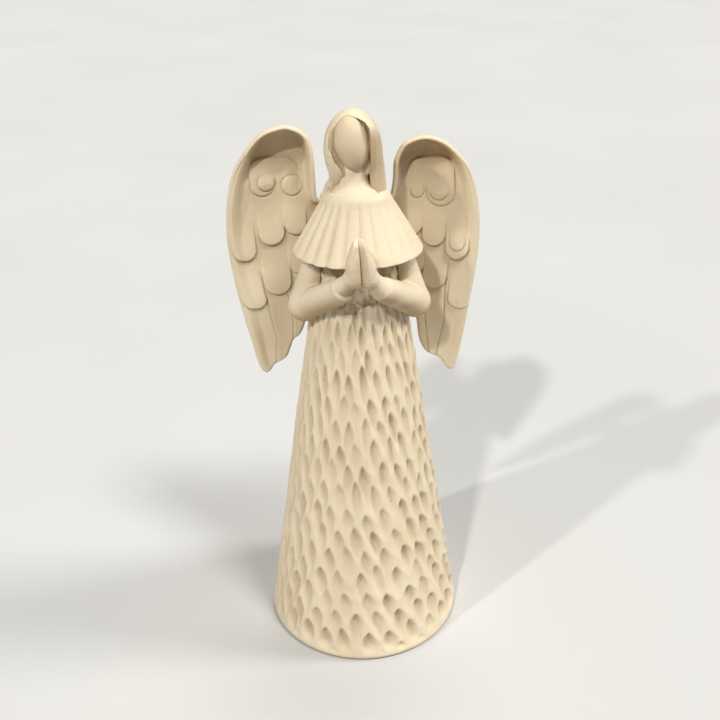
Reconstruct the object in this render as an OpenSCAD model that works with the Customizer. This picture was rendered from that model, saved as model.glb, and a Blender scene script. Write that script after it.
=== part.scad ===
// Praying angel figurine, cast resin: separate castings pinned and glued together.
// Millimetres. +Z up, the figure faces -Y, its own left side is +X.
// The origin is the middle of the felt's underside.

/* [Gown] */
// Radius of the gown's foot
base_r = 56.7; // [50:0.1:60]
// Radius of the gown at the waist seam
waist_r = 24.7; // [24:0.1:26]
// Height of the waist seam above the table
waist_z = 205; // [203:1:207]
// Thickness of the cast wall
wall = 4; // [3:0.5:5]

/* [Foot] */
// Thickness of the felt under the foot
felt_t = 1; // [0.5:0.1:2]
// Thickness of the closing disc
plug_t = 4; // [3:0.5:5]
// Radius of the closing disc
plug_r = 50; // [46:0.5:50]

/* [Bodice and cape] */
// Height of the shoulder line, where the cone turns in
shoulder_z = 225; // [224:1:227]
// Height of the flat that the neck stands on
chest_z = 257.5; // [257:0.5:258]
// Height of the cape's hem
hem_z = 231; // [230:0.5:232]
// Height of the cape's collar
collar_z = 260; // [259.5:0.5:261]
// Thickness of the cape
cape_t = 2.6; // [2:0.1:3]
// Number of pleats round the cape
pleats = 22; // [18:4:30]

/* [Arms and hands] */
// How far out an elbow sits
elbow_x = 28.5; // [28:0.5:29]
// Height of an elbow
elbow_z = 203.5; // [202:0.5:205]
// Thickness of a sleeve at the elbow, as a radius
elbow_r = 8; // [7.5:0.1:8.2]
// Thickness of a sleeve at the cuff, as a radius
cuff_r = 6.2; // [6:0.1:6.5]
// Height of the fingertips
fingertip_z = 249.5; // [247:0.5:251]

/* [Head and hair] */
// Widest radius of the face
face_r = 8.4; // [8:0.1:8.8]
// Top of the hair, which is the figurine's height
top_z = 300; // [299:1:301]

/* [Wings] */
// Half of the span over both wings
half_span = 67; // [64:0.5:70]
// Depth of the hollow in the front of a wing
hollow_depth = 11; // [9:0.5:12]
// How much taller the wing on the figure's right is
right_stretch = 1.04; // [1:0.01:1.06]

/* [Pins] */
// Radius of the steel pins in the arms and wings
pin_r = 1.5; // [1:0.1:1.6]
// Radius of the steel pin in the neck
neck_pin_r = 2; // [1.5:0.1:2.2]

/* [Hidden] */

RESIN = "antiquewhite";
STEEL = "silver";
FELT = "tan";
FINE = 96;
SOFT = 24;

// The castings stand glue_gap off each other where one is fitted round another.
glue_gap = 0.15;

// Foot: the gown's rim stands on the felt, and the plug sits up in a rebate.
foot_z = felt_t;
plug_top = foot_z + plug_t;
ledge_w = 3;
ledge_h = 4;
foot_round = 1.5;

// Waist: a spigot on the bodice drops into a socket in the gown's deck.
deck_t = 6;
spigot_r = 12;
spigot_h = 10;

// Shoulders
shoulder_r = 21.6;
yoke_r = 14;
yoke_z = 251;
chest_r = 11.8;

// Neck and head
neck_flange_r = 10.5;
neck_r = 5.8;
neck_top_z = 278;
neck_x = -0.8;
neck_back = 1.2;
chin_z = 272;
brow_z = 297;
head_tilt = 7;
head_centre = [-2.5, -3.8, 286];

// Arms: shoulder, elbow and cuff centres on the figure's left side
shoulder_p = [19, -2, 235];
shoulder_ball = 6.6;
elbow_p = [elbow_x, -8, elbow_z];
cuff_p = [8.6, -33.5, 223];
wrist_r = 3.6;
wrist_in = 6;
palm_gap = 0.15;

// Pins
pin_len = 15;
shoulder_pin_z = 234;
shoulder_pin_x = 8;
neck_pin_z0 = 246;
neck_pin_z1 = 286;
wing_pin_x = 10;
wing_pin_y = 13;
wing_pin_zs = [210, 222];

// Wing: heights from tip to crown, with the inner and outer edge at each
tip_z = 146;
crown_z = 282;
rim_y = 22;
wing_outer = [
    [146, 54], [151, 57], [166, 60], [189, 63.2], [213, 66.2], [233, half_span],
    [250, 65], [263, 60.5], [270, 56], [276, 49.6], [279.5, 43.4], [282, 36]
];
wing_inner = [
    [146, 53], [148, 50], [155, 44], [158, 38], [168, 34], [180, 30], [190, 14],
    [196, 8], [240, 8], [249, 17], [258, 19.9], [269, 20.2], [277, 24.2],
    [280, 29], [282, 35]
];
// How far back the inner edge stands, to clear the figure's back
wing_inner_back = [[146, 0], [180, 2], [190, 5.5], [238, 5.5], [249, 1], [282, 0]];
wing_levels = 24;
wing_across = 12;
wing_edge_t = 2.4;
least_hollow = 0.4;

// ---- shared helpers ----

// A solid from a stack of rings of equal length, with a flat cap on each end.
module capped_loft(rings) {
    n = len(rings[0]);
    last = len(rings) - 1;
    sides = [
        for (k = [0:last - 1], i = [0:n - 1])
            let (j = (i + 1) % n)
                each [
                    [k * n + i, k * n + j, (k + 1) * n + j],
                    [k * n + i, (k + 1) * n + j, (k + 1) * n + i]
                ]
    ];
    bottom = [[for (i = [n - 1:-1:0]) i]];
    top = [[for (i = [0:n - 1]) last * n + i]];
    polyhedron([for (r = rings) each r], concat(sides, bottom, top));
}

// A solid from rings that close on themselves both ways, as a pleated collar does.
module ring_loft(rings) {
    n = len(rings[0]);
    m = len(rings);
    faces = [
        for (k = [0:m - 1], i = [0:n - 1])
            let (j = (i + 1) % n, q = (k + 1) % m)
                each [[k * n + i, k * n + j, q * n + j], [k * n + i, q * n + j, q * n + i]]
    ];
    polyhedron([for (r = rings) each r], faces);
}

module ball(p, r) {
    translate(p) sphere(r = r, $fn = SOFT);
}

module on_side(side) {
    mirror([side > 0 ? 0 : 1, 0, 0]) children();
}

// The gown and bodice as one filled shape, grown by g, for fitting other castings against.
module body_envelope(g = 0) {
    rotate_extrude($fn = FINE)
        polygon([
            [0, foot_z], [base_r + g, foot_z], [waist_r + g, waist_z],
            [shoulder_r + g, shoulder_z], [yoke_r + g, yoke_z], [chest_r + g, chest_z + g],
            [0, chest_z + g]
        ]);
}

// ---- foot ----

module felt_pad() {
    color(FELT) cylinder(r = base_r - foot_round, h = felt_t, $fn = FINE);
}

module base_plug() {
    color(RESIN) translate([0, 0, foot_z]) cylinder(r = plug_r, h = plug_t, $fn = FINE);
}

// ---- gown: a hollow cone with a rebated foot and a socketed deck ----

module gown() {
    lean = (base_r - waist_r) / (waist_z - foot_z);
    inner_foot = base_r - wall - lean * (plug_t + ledge_h);
    color(RESIN) rotate_extrude($fn = FINE)
        polygon([
            [plug_r + glue_gap, foot_z],
            [base_r - foot_round, foot_z],
            [base_r, foot_z + foot_round],
            [waist_r, waist_z],
            [spigot_r + glue_gap, waist_z],
            [spigot_r + glue_gap, waist_z - deck_t],
            [waist_r - wall, waist_z - deck_t],
            [inner_foot, plug_top + ledge_h],
            [plug_r - ledge_w, plug_top + ledge_h],
            [plug_r - ledge_w, plug_top],
            [plug_r + glue_gap, plug_top]
        ]);
}

// ---- bodice ----

module bodice() {
    color(RESIN) difference() {
        union() {
            rotate_extrude($fn = FINE)
                polygon([
                    [0, waist_z], [waist_r, waist_z], [shoulder_r, shoulder_z],
                    [yoke_r, yoke_z], [chest_r, chest_z], [0, chest_z]
                ]);
            translate([0, 0, waist_z - spigot_h]) cylinder(r = spigot_r, h = spigot_h + 1, $fn = FINE);
        }
        neck_bore();
        for (side = [-1, 1]) {
            shoulder_bore(side);
            for (z = wing_pin_zs) wing_bore(side, z);
        }
    }
}

// ---- cape: pleats that open from a plain collar down to a wavy hem ----

function cape_x(t) = 15 + 18.5 * t;
function cape_front(t) = 14 + 15 * t;
function cape_back(t) = 14 + 10.5 * t;
function pleat(a, t) = 1.1 * t * (abs(cos(a * pleats / 2)) - 0.6);
function cape_ring(t, inset) = [
    for (i = [0:pleats * 6 - 1])
        let (
            a = 360 * i / (pleats * 6),
            ry = sin(a) < 0 ? cape_front(t) : cape_back(t),
            grow = pleat(a, t) - inset
        )
            [(cape_x(t) + grow) * cos(a), (ry + grow) * sin(a), collar_z - (collar_z - hem_z) * t]
];

module cape() {
    steps = [0, 0.3, 0.65, 1];
    outer = [for (t = steps) cape_ring(t, 0)];
    inner = [for (k = [3:-1:0]) cape_ring(steps[k], cape_t)];
    color(RESIN) ring_loft(concat(outer, inner));
}

// ---- neck and head ----

// The neck's outside, grown by g, for fitting the hair round it.
module neck_body(g = 0) {
    translate([neck_x, 0, 0]) rotate_extrude($fn = FINE)
        polygon([
            [0, chest_z], [neck_flange_r + g, chest_z], [neck_flange_r + g, collar_z + g],
            [9.2 + g, 262.3], [6.6 + g, 266], [0, 267]
        ]);
    translate([neck_x, neck_back, 0]) rotate_extrude($fn = FINE)
        polygon([
            [0, chest_z], [8.4 + g, chest_z], [8.4 + g, 262], [7 + g, 265],
            [neck_r + 0.3 + g, 269], [neck_r + g, neck_top_z + g], [0, neck_top_z + g]
        ]);
}

module neck() {
    color(RESIN) difference() {
        neck_body();
        neck_bore();
    }
}

function egg_r(u) = pow(sin(180 * pow(u, 1.2)), 0.62);

// The face, a smooth egg on its chin, grown by g.
module egg(g = 0) {
    h = brow_z - chin_z + 2 * g;
    rows = 20;
    translate(head_centre) rotate([0, -head_tilt, 0])
        translate([0, 0, chin_z - head_centre.z - g]) rotate_extrude($fn = 72)
            polygon([
                [0, 0],
                for (k = [1:rows - 1]) [(face_r + g) * egg_r(k / rows), h * k / rows],
                [0, h]
            ]);
}

module head() {
    color(RESIN) difference() {
        egg();
        neck_body(glue_gap);
        neck_bore();
    }
}

// The opening of the hood: a wide mouth at the front that steps in to fit the face.
module face_opening() {
    translate([head_centre.x - 0.2, -24, 283]) rotate([-90, 0, 0]) {
        cylinder(r = face_r + 0.2, h = 22, $fn = 72);
        cylinder(r1 = face_r + 3, r2 = face_r + 0.8, h = 19, $fn = 72);
    }
    translate([-8.4, -24, 250]) cube([14.8, 20, 33]);
}

module hair() {
    color(RESIN) difference() {
        union() {
            hull() {
                ball([-2, 3, top_z - 12], 12);
                ball([-1.6, 4, 279], 14.4);
                ball([-1, 7, 268], 12);
            }
            hull() {
                ball([5.6, -3.6, 289], 5.2);
                ball([8, -5, 279], 4.8);
                ball([9.6, -6, 266], 4.9);
            }
            hull() {
                ball([-9, 5, 280], 7);
                ball([-11, 9, 266], 5.5);
                ball([-14.6, 15, 257], 4);
            }
        }
        face_opening();
        egg(glue_gap);
        neck_body(glue_gap);
        translate([neck_x, 0, collar_z - 10]) cylinder(r1 = 25, r2 = 15.6, h = 10 + glue_gap, $fn = 72);
    }
}

// ---- arms and hands ----

module arm(side) {
    color(RESIN) difference() {
        on_side(side) {
            hull() {
                ball(shoulder_p, shoulder_ball);
                ball(elbow_p, elbow_r);
            }
            hull() {
                ball(elbow_p, elbow_r);
                ball(cuff_p, cuff_r);
            }
        }
        body_envelope(glue_gap);
        on_side(side) hand_heel(2 * glue_gap);
        shoulder_bore(side);
        mid_plane_cut(side);
    }
}

// Everything on the far side of the figure's middle plane
module mid_plane_cut(side) {
    on_side(side) translate([-60, -80, 190]) cube([60 + palm_gap, 100, 80]);
}

// The heel of a hand down to its wrist, grown by g, which is also the hole in the cuff.
module hand_heel(g = 0) {
    hull() {
        ball([2.8, -39, 234], 3.2 + g);
        ball([2.6, -34, 234], 3 + g);
        ball([4.4, -38, 226], 3.8 + g);
        ball(cuff_p + [-1, 0, 0.5], wrist_r + g);
    }
}

module hand(side) {
    color(RESIN) difference() {
        on_side(side) {
            hull() {
                ball([1.3, -37.5, fingertip_z - 1.6], 1.6);
                ball([1.6, -35.5, fingertip_z - 5], 1.8);
                ball([2.8, -39, 234], 3.2);
                ball([2.6, -34, 234], 3);
            }
            hand_heel();
        }
        mid_plane_cut(side);
    }
}

// ---- wings: a hollow-fronted blade, thick at its rolled rim ----

function hollow(z) = hollow_depth * pow(max(0, min(1, (z - tip_z) / (262 - tip_z))), 0.9);
function wing_section(z, stretch) = let (
    h = tip_z + (z - tip_z) * stretch,
    x0 = lookup(z, wing_inner),
    x1 = lookup(z, wing_outer),
    roll = min(1, 2.2 * sqrt(max(0, (crown_z - z) / (crown_z - tip_z)))),
    back = lookup(z, wing_inner_back),
    deep = least_hollow + hollow(z) * roll
) [
    for (i = [0:wing_across]) let (u = i / wing_across)
        [x0 + (x1 - x0) * u, rim_y + back * (1 - u) + deep * pow(sin(180 * u), 0.6), h],
    for (i = [wing_across:-1:0]) let (u = i / wing_across)
        [
            x0 + (x1 - x0) * u,
            rim_y + back * (1 - u) + wing_edge_t + (deep + wall - wing_edge_t) * pow(sin(180 * u), 0.5),
            h
        ]
];
function wing_level(k) = tip_z + (crown_z - tip_z) * (1 - cos(180 * k / wing_levels)) / 2;

module wing_blade(stretch) {
    capped_loft([for (k = [wing_levels:-1:0]) wing_section(wing_level(k), stretch)]);
}

// The wing's foot against the back of the figure
module wing_root() {
    translate([5, 12, waist_z + glue_gap]) cube([13, 19, hem_z - waist_z - 3]);
}

module wing(side) {
    color(RESIN) difference() {
        on_side(side) {
            wing_blade(side < 0 ? right_stretch : 1);
            wing_root();
        }
        body_envelope(glue_gap);
        for (z = wing_pin_zs) wing_bore(side, z);
    }
}

// ---- pins and their bores ----

module pin_along_y(x, y, z, r, len) {
    translate([x, y, z]) rotate([-90, 0, 0]) cylinder(r = r, h = len, $fn = 32);
}

module pin_along_x(side, r, len) {
    translate([side * shoulder_pin_x, 0, shoulder_pin_z])
        rotate([0, side * 90, 0]) cylinder(r = r, h = len, $fn = 32);
}

module wing_bore(side, z) {
    pin_along_y(side * wing_pin_x, wing_pin_y - glue_gap, z, pin_r + glue_gap, pin_len + 2 * glue_gap);
}

module shoulder_bore(side) {
    translate([-side * glue_gap, 0, 0]) pin_along_x(side, pin_r + glue_gap, pin_len + 2 * glue_gap);
}

module neck_bore() {
    translate([neck_x, 0, neck_pin_z0 - glue_gap])
        cylinder(r = neck_pin_r + glue_gap, h = neck_pin_z1 - neck_pin_z0 + 2 * glue_gap, $fn = 32);
}

module neck_pin() {
    color(STEEL) translate([neck_x, 0, neck_pin_z0])
        cylinder(r = neck_pin_r, h = neck_pin_z1 - neck_pin_z0, $fn = 32);
}

module shoulder_pins() {
    color(STEEL) for (side = [-1, 1]) pin_along_x(side, pin_r, pin_len);
}

module wing_pins() {
    color(STEEL) for (side = [-1, 1], z = wing_pin_zs)
        pin_along_y(side * wing_pin_x, wing_pin_y, z, pin_r, pin_len);
}

gown();
base_plug();
felt_pad();
bodice();
cape();
neck();
head();
hair();
arm(1);  // arm_left
arm(-1);  // arm_right
hand(1);  // hand_left
hand(-1);  // hand_right
wing(1);  // wing_left
wing(-1);  // wing_right
neck_pin();
shoulder_pins();
wing_pins();
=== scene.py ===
"""Looks for the praying resin angel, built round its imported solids.

Sizes are in millimetres in the row's frame, and become metres when a mesh is made.
The figure faces -Y and its own left side is +X.
"""

import math
from collections import namedtuple

import bpy
import numpy as np
import openvdb as vdb
from mathutils import Matrix, Vector


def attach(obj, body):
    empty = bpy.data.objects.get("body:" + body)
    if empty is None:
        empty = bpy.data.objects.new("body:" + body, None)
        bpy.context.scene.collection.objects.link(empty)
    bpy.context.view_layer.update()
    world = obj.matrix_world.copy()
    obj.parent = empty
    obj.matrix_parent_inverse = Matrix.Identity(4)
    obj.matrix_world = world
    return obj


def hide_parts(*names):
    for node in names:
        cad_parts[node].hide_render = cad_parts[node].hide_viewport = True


MM = 0.001
TURN = 2 * math.pi
rng = np.random.default_rng(12)

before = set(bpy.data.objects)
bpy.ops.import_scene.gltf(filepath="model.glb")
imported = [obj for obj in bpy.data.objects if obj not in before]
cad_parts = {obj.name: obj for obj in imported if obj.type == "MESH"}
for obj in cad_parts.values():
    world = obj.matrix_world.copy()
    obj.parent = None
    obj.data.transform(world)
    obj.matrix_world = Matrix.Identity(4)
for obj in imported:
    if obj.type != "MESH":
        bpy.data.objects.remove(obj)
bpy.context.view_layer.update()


# ---------------------------------------------------------------- numbers and blends
def step01(a, b, x):
    """0 before a, 1 after b, smooth between."""
    t = np.clip((x - a) / (b - a), 0, 1)
    return t * t * (3 - 2 * t)


def bell(x, width):
    """1 at 0, and next to nothing two widths away."""
    return np.exp(-((x / width) ** 2))


def smin(a, b, k):
    """The smaller of two distances, with a fillet of about k where they meet."""
    h = np.clip(0.5 + 0.5 * (b - a) / k, 0, 1)
    return b + (a - b) * h - k * h * (1 - h)


def smax(a, b, k):
    """The larger of two distances, with an edge rounded by about k."""
    return -smin(-a, -b, k)


def ring_angles(cols):
    """Angles once round the figure."""
    return np.linspace(0, TURN, cols, endpoint=False)


def curve_point(p0, p1, p2, p3, s):
    """A point on the smooth curve from p1 to p2, s of the way along."""
    bend = (2 * p0 - 5 * p1 + 4 * p2 - p3) * s * s
    return 0.5 * (2 * p1 + (p2 - p0) * s + bend + (3 * p1 - p0 - 3 * p2 + p3) * s**3)


def smooth_loop(points, per=6):
    """A closed curve through the points."""
    pts = np.array(points, float)
    n = len(pts)
    return np.array([
        curve_point(pts[i - 1], pts[i], pts[(i + 1) % n], pts[(i + 2) % n], s)
        for i in range(n)
        for s in np.arange(per) / per
    ])


# ---------------------------------------------------------------- distances
def ellipsoid(p, centre, radii):
    """Distance to an ellipsoid, near enough close to its skin."""
    q = [(p[i] - centre[i]) / radii[i] for i in range(3)]
    k0 = np.sqrt(sum(c * c for c in q)) + 1e-9
    k1 = np.sqrt(sum((c / r) ** 2 for c, r in zip(q, radii))) + 1e-9
    return k0 * (k0 - 1) / k1


def limb(p, a, b, ra, rb):
    """A rounded cone from a to b."""
    a, b = np.array(a, float), np.array(b, float)
    d = b - a
    t = np.clip(sum((p[i] - a[i]) * d[i] for i in range(3)) / (d @ d), 0, 1)
    away = np.sqrt(sum((p[i] - a[i] - t * d[i]) ** 2 for i in range(3)))
    return away - (ra + (rb - ra) * t)


def swept(p, points, k, per=3):
    """Rounded cones end to end that bend smoothly through the points; each point is x, y, z, radius."""
    pts = np.array([points[0], *points, points[-1]], float)
    path = [pts[1]]
    for four in zip(pts[:-3], pts[1:-2], pts[2:-1], pts[3:]):
        path += [curve_point(*four, t) for t in np.arange(1, per + 1) / per]
    out = None
    for a, b in zip(path[:-1], path[1:]):
        d = limb(p, a[:3], b[:3], a[3], b[3])
        out = d if out is None else smin(out, d, k)
    return out


def line_distance(x, z, pts, closed=False):
    """Distance in a plane to a line of points; closed lines are signed, negative inside."""
    pts = np.asarray(pts, float)
    ends = np.roll(pts, -1, 0) if closed else pts[1:]
    starts = pts if closed else pts[:-1]
    best = np.full(np.shape(x), 1e9)
    inside = np.zeros(np.shape(x), bool)
    for (ax, az), (bx, bz) in zip(starts, ends):
        dx, dz = bx - ax, bz - az
        t = np.clip(((x - ax) * dx + (z - az) * dz) / (dx * dx + dz * dz + 1e-12), 0, 1)
        best = np.minimum(best, (x - ax - t * dx) ** 2 + (z - az - t * dz) ** 2)
        if closed and dz != 0:
            inside ^= ((az > z) != (bz > z)) & (x < dx * (z - az) / dz + ax)
    best = np.sqrt(best)
    return np.where(inside, -best, best) if closed else best


class Sheet:
    """A quantity held on a fine grid of one plane, read between its points."""

    def __init__(self, lo, hi, step, values):
        """The values are an array over the grid, or a function of the grid's two coordinates."""
        self.lo, self.step = lo, step
        self.shape = [int((b - a) / step) + 2 for a, b in zip(lo, hi)]
        self.values = values(*self.points()) if callable(values) else values

    def points(self):
        """The grid's two coordinates at each of its points."""
        lines = [a + self.step * np.arange(n) for a, n in zip(self.lo, self.shape)]
        return np.meshgrid(*lines, indexing="ij")

    def at(self, u, v):
        """The quantity at any u and v, held at the edge value outside the grid."""
        a = np.clip((u - self.lo[0]) / self.step, 0, self.shape[0] - 1.001)
        b = np.clip((v - self.lo[1]) / self.step, 0, self.shape[1] - 1.001)
        i, j = a.astype(int), b.astype(int)
        a, b = a - i, b - j
        f = self.values
        near = f[i, j] * (1 - a) + f[i + 1, j] * a
        far = f[i, j + 1] * (1 - a) + f[i + 1, j + 1] * a
        return near * (1 - b) + far * b


# ---------------------------------------------------------------- meshes
def piece(name, verts, quads, node, painted_shade=None):
    """A resin casting in the row's frame that stands for a CAD node; the last argument is how much painted
    shade each point gets.
    """
    mesh = bpy.data.meshes.new(name)
    quads = np.asarray(quads, np.int32)
    mesh.vertices.add(len(verts))
    mesh.vertices.foreach_set("co", (np.asarray(verts) * MM).astype(np.float32).ravel())
    mesh.loops.add(quads.size)
    mesh.loops.foreach_set("vertex_index", quads.ravel())
    mesh.polygons.add(len(quads))
    mesh.polygons.foreach_set("loop_start", np.arange(0, quads.size, 4, dtype=np.int32))
    mesh.polygons.foreach_set("loop_total", np.full(len(quads), 4, np.int32))
    mesh.update(calc_edges=True)
    mesh.validate()
    mesh.shade_smooth()
    if painted_shade is not None:
        layer = mesh.attributes.new("painted_shade", "FLOAT", "POINT")
        layer.data.foreach_set("value", np.asarray(painted_shade, np.float32))
    mesh.materials.append(RESIN)
    o = bpy.data.objects.new(name, mesh)
    bpy.context.scene.collection.objects.link(o)
    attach(o, "root")
    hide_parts(node)


def carve(field, lo, hi, step, passes=3):
    """The skin of a distance field, with its points settled on the field, and how far each one faces down."""
    lo = np.array(lo, np.float32)
    axes = [np.arange(a, b + step, step, dtype=np.float32) for a, b in zip(lo, hi)]
    d = field(np.meshgrid(*axes, indexing="ij", sparse=True))
    grid = vdb.FloatGrid(4.0)
    grid.copyFromArray(np.ascontiguousarray(d, np.float32))
    points, quads = grid.convertToQuads(0.0)
    v = points.astype(np.float64) * step + lo
    reach = 0.04
    for _ in range(passes):
        here = field(v.T)
        slope = np.stack(
            [(field((v + e).T) - field((v - e).T)) / (2 * reach) for e in reach * np.eye(3)], 1
        )
        steepness = np.maximum((slope**2).sum(1), 0.2)
        move = slope * (here / steepness)[:, None]
        far = np.linalg.norm(move, axis=1, keepdims=True) + 1e-9
        v -= move * np.minimum(1, 0.5 * step / far)
    facing_down = -slope[:, 2] / (np.linalg.norm(slope, axis=1) + 1e-9)
    return v, quads, facing_down


def ring_of(radius, angle, z, x=0.0, y=0.0):
    """Points round an upright axis; radius and z may differ from point to point."""
    return np.stack([x + radius * np.cos(angle), y + radius * np.sin(angle), z + 0 * radius * angle], -1)


def tube_quads(rows, cols):
    """Faces of a grid that closes round its columns and from its last row back to its first."""
    i = np.arange(rows)[:, None]
    j = np.arange(cols)[None, :]
    k, up = (j + 1) % cols, (i + 1) % rows
    return np.stack([i * cols + j, i * cols + k, up * cols + k, up * cols + j], -1).reshape(-1, 4)


# ---------------------------------------------------------------- materials
class Shader:
    """A material's node tree, with one short call for each kind of node."""

    def __init__(self, name):
        self.material = bpy.data.materials.new(name)
        self.material.use_nodes = True
        self.nodes, self.links = self.material.node_tree.nodes, self.material.node_tree.links
        self.surface = self.nodes["Principled BSDF"].inputs
        self.where = self.nodes.new("ShaderNodeTexCoord").outputs["Object"]

    def feed(self, socket, value):
        """Link the socket to another node's output, or set it to a plain value."""
        if isinstance(value, bpy.types.NodeSocket):
            self.links.new(value, socket)
        else:
            socket.default_value = value

    def noise(self, scale, detail=3.0, rough=0.5):
        """Cloudy noise from 0 to 1 that sits in the object."""
        n = self.nodes.new("ShaderNodeTexNoise")
        n.inputs["Scale"].default_value = scale
        n.inputs["Detail"].default_value = detail
        n.inputs["Roughness"].default_value = rough
        self.feed(n.inputs["Vector"], self.where)
        return n.outputs["Fac"]

    def ramp(self, value, *stops):
        """Colours along the value; each stop is where it is and its colour."""
        r = self.nodes.new("ShaderNodeValToRGB")
        first, last = r.color_ramp.elements
        first.position, first.color = stops[0][0], (*stops[0][1], 1)
        last.position, last.color = stops[-1][0], (*stops[-1][1], 1)
        for at, colour in stops[1:-1]:
            r.color_ramp.elements.new(at).color = (*colour, 1)
        self.feed(r.inputs["Fac"], value)
        return r.outputs["Color"]

    def blend(self, share, a, b):
        """Colour a with a share of colour b laid over it."""
        m = self.nodes.new("ShaderNodeMix")
        m.data_type = "RGBA"
        for socket, value in ((m.inputs[0], share), (m.inputs[6], a), (m.inputs[7], b)):
            self.feed(socket, value)
        return m.outputs[2]

    def maths(self, how, a, b, clamp=False):
        """One sum on two values."""
        m = self.nodes.new("ShaderNodeMath")
        m.operation = how
        m.use_clamp = clamp
        self.feed(m.inputs[0], a)
        self.feed(m.inputs[1], b)
        return m.outputs[0]

    def roughness(self, value, low, high):
        """Roughness that runs from low to high with the value."""
        spread = self.nodes.new("ShaderNodeMapRange")
        spread.inputs["To Min"].default_value = low
        spread.inputs["To Max"].default_value = high
        self.feed(spread.inputs["Value"], value)
        self.feed(self.surface["Roughness"], spread.outputs["Result"])

    def bump(self, height, depth, strength, onto=None):
        """A fine relief, depth metres deep, laid onto another one where it is given."""
        b = self.nodes.new("ShaderNodeBump")
        b.inputs["Distance"].default_value = depth
        b.inputs["Strength"].default_value = strength
        self.feed(b.inputs["Height"], height)
        if onto is not None:
            self.feed(b.inputs["Normal"], onto)
        return b.outputs["Normal"]


def resin_material():
    """Matt ivory cast resin: a mottled cream, a brown painted shade where each piece asks for it, and dark
    dots painted as the shade in a few casting pinholes.
    """
    s = Shader("ivory_resin")
    cream = s.ramp(
        s.noise(22, 4, 0.55),
        (0.30, (0.690, 0.590, 0.428)),
        (0.52, (0.735, 0.648, 0.488)),
        (0.75, (0.752, 0.650, 0.500)),
    )
    speckle = s.ramp(s.noise(700, 3, 0.6), (0.3, (0.55, 0.42, 0.27)), (0.7, (0.85, 0.76, 0.60)))
    base = s.blend(0.10, cream, speckle)

    # Painted shade: each piece's attribute browns its shaded places, hollows, creases and undersides, toward
    # a dark brown.
    painted_shade = s.nodes.new("ShaderNodeAttribute")
    painted_shade.attribute_name = "painted_shade"
    patchy = s.maths("MULTIPLY", painted_shade.outputs["Fac"], s.maths("ADD", s.noise(90), 0.35))
    base = s.blend(s.maths("MULTIPLY", patchy, 0.8, clamp=True), base, (0.47, 0.345, 0.21, 1))

    # Dark dots painted as the shade inside a few casting pinholes.
    holes = s.nodes.new("ShaderNodeTexVoronoi")
    holes.inputs["Scale"].default_value = 160
    s.feed(holes.inputs["Vector"], s.where)
    near = s.maths("LESS_THAN", holes.outputs["Distance"], 0.055)
    few = s.maths("GREATER_THAN", s.noise(35, 1), 0.60)
    pinhole_shade = s.maths("MULTIPLY", near, few)
    base = s.blend(s.maths("MULTIPLY", pinhole_shade, 0.75), base, (0.22, 0.14, 0.08, 1))
    s.feed(s.surface["Base Color"], base)

    s.roughness(s.noise(60), 0.52, 0.70)
    s.surface["Specular IOR Level"].default_value = 0.35
    s.surface["Subsurface Weight"].default_value = 0.06
    s.surface["Subsurface Radius"].default_value = (0.0022, 0.0014, 0.0008)
    uneven = s.bump(s.noise(260), 0.00022, 0.5)
    s.feed(s.surface["Normal"], s.bump(s.noise(1100, 2), 0.00006, 0.5, onto=uneven))
    return s.material


def steel_material():
    """Ground steel rod with fine scratches."""
    s = Shader("pin_steel")
    scratches = s.noise(900, 2)
    s.feed(s.surface["Base Color"], s.ramp(scratches, (0.3, (0.42, 0.43, 0.44)), (0.7, (0.60, 0.60, 0.61))))
    s.surface["Metallic"].default_value = 1.0
    s.roughness(scratches, 0.28, 0.45)
    s.feed(s.surface["Normal"], s.bump(scratches, 0.00002, 0.5))
    return s.material


def felt_material():
    """Brown wool felt."""
    s = Shader("felt")
    fibres = s.noise(1500, 5, 0.7)
    s.feed(s.surface["Base Color"], s.ramp(fibres, (0.3, (0.30, 0.24, 0.17)), (0.7, (0.52, 0.44, 0.33))))
    s.roughness(fibres, 0.88, 1.0)
    s.surface["Specular IOR Level"].default_value = 0.1
    s.feed(s.surface["Normal"], s.bump(fibres, 0.0003, 0.8))
    return s.material


RESIN, STEEL, FELT = resin_material(), steel_material(), felt_material()


# ---------------------------------------------------------------- gown and bodice
FOOT_R, FOOT_Z = 56.7, 1.0
WAIST_R, WAIST_Z = 24.7, 205.0
BODICE_Z = [WAIST_Z, 225.0, 238.0, 251.0, 257.5]
BODICE_R = [WAIST_R, 21.6, 18.2, 14.0, 11.8]
SPIGOT_R, SPIGOT_FOOT, GLUE_GAP = 12.0, 195.0, 0.15
DECK_Z, DECK_R = 199.0, 20.7
PLUG_R, PLUG_Z = 47.0, 9.0
FELT_R, FELT_Z = 50.15, 5.0

CUTS_ROUND = 26
ROW_RISE = 12.9
CUT_LENGTH = 12.5
Cut = namedtuple("Cut", "z turn length depth width lean")


def strike_cuts(low, high):
    """The carver's gouges, row over row, with each row half a step round from the last."""
    step = TURN / CUTS_ROUND
    cuts = []
    for row in range(int((high - low) / ROW_RISE) + 1):
        for col in range(CUTS_ROUND):
            z = low + row * ROW_RISE + rng.normal(0, 1.4)
            turn = (col + 0.5 * (row % 2)) * step + rng.normal(0, 0.08) * step
            skirt_lean = 0.075 * (1 + math.cos(turn)) * (1 - step01(60, 190, z))
            lean = rng.normal(0, 0.05) + 0.03 + skirt_lean
            length = CUT_LENGTH * rng.uniform(0.86, 1.08)
            depth = rng.uniform(0.70, 1.15)
            width = rng.uniform(0.88, 1.12)
            cuts.append(Cut(z, turn, length, depth, width, lean))
    return cuts


CUTS = strike_cuts(-4.0, 240.0)


def full_depth(radius):
    """A whole cut's depth, which follows its width."""
    return 1.1 + 0.16 * (TURN * radius / CUTS_ROUND)


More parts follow.
